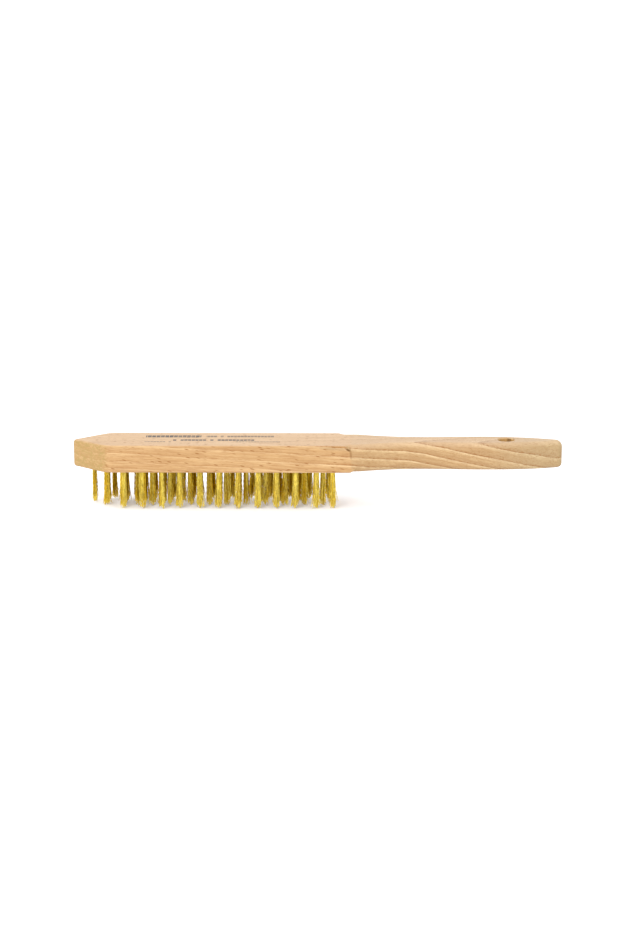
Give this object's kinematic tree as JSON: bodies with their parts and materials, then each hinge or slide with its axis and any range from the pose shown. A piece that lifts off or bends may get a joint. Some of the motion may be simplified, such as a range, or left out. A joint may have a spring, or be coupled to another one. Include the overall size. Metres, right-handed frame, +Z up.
{
  "type": "wire brush",
  "caption": "Scratch brush with folded brass wire tufts stapled in staggered rows under a flat pointed beech head, with a rounded grip and a hanging hole.",
  "frame": {"origin": "on the surface that the bristle tips stand on, below the middle of the brush's bounding box", "axes": "+X along the handle from the nose of the head to the hanging hole, +Y across the board, +Z up from the bristle tips to the flat back of the head"},
  "size_m": [0.29, 0.035, 0.0394],
  "materials": {
    "beech": "bare sanded beech",
    "brass_wire": "drawn crimped wire",
    "staple_steel": "galvanised wire"
  },
  "bodies": {
    "root": {"beech_handle": "beech", "staples_row_a": "staple_steel", "staples_row_b": "staple_steel", "staples_row_c": "staple_steel", "staples_row_d": "staple_steel", "tuft_a01": "brass_wire", "tuft_a02": "brass_wire", "tuft_a03": "brass_wire", "tuft_a04": "brass_wire", "tuft_a05": "brass_wire", "tuft_a06": "brass_wire", "tuft_a07": "brass_wire", "tuft_a08": "brass_wire", "tuft_a09": "brass_wire", "tuft_a10": "brass_wire", "tuft_a11": "brass_wire", "tuft_a12": "brass_wire", "tuft_b01": "brass_wire", "tuft_b02": "brass_wire", "tuft_b03": "brass_wire", "tuft_b04": "brass_wire", "tuft_b05": "brass_wire", "tuft_b06": "brass_wire", "tuft_b07": "brass_wire", "tuft_b08": "brass_wire", "tuft_b09": "brass_wire", "tuft_b10": "brass_wire", "tuft_b11": "brass_wire", "tuft_b12": "brass_wire", "tuft_b13": "brass_wire", "tuft_c01": "brass_wire", "tuft_c02": "brass_wire", "tuft_c03": "brass_wire", "tuft_c04": "brass_wire", "tuft_c05": "brass_wire", "tuft_c06": "brass_wire", "tuft_c07": "brass_wire", "tuft_c08": "brass_wire", "tuft_c09": "brass_wire", "tuft_c10": "brass_wire", "tuft_c11": "brass_wire", "tuft_c12": "brass_wire", "tuft_c13": "brass_wire", "tuft_d01": "brass_wire", "tuft_d02": "brass_wire", "tuft_d03": "brass_wire", "tuft_d04": "brass_wire", "tuft_d05": "brass_wire", "tuft_d06": "brass_wire", "tuft_d07": "brass_wire", "tuft_d08": "brass_wire", "tuft_d09": "brass_wire", "tuft_d10": "brass_wire", "tuft_d11": "brass_wire", "tuft_d12": "brass_wire"}
  },
  "joints": []
}
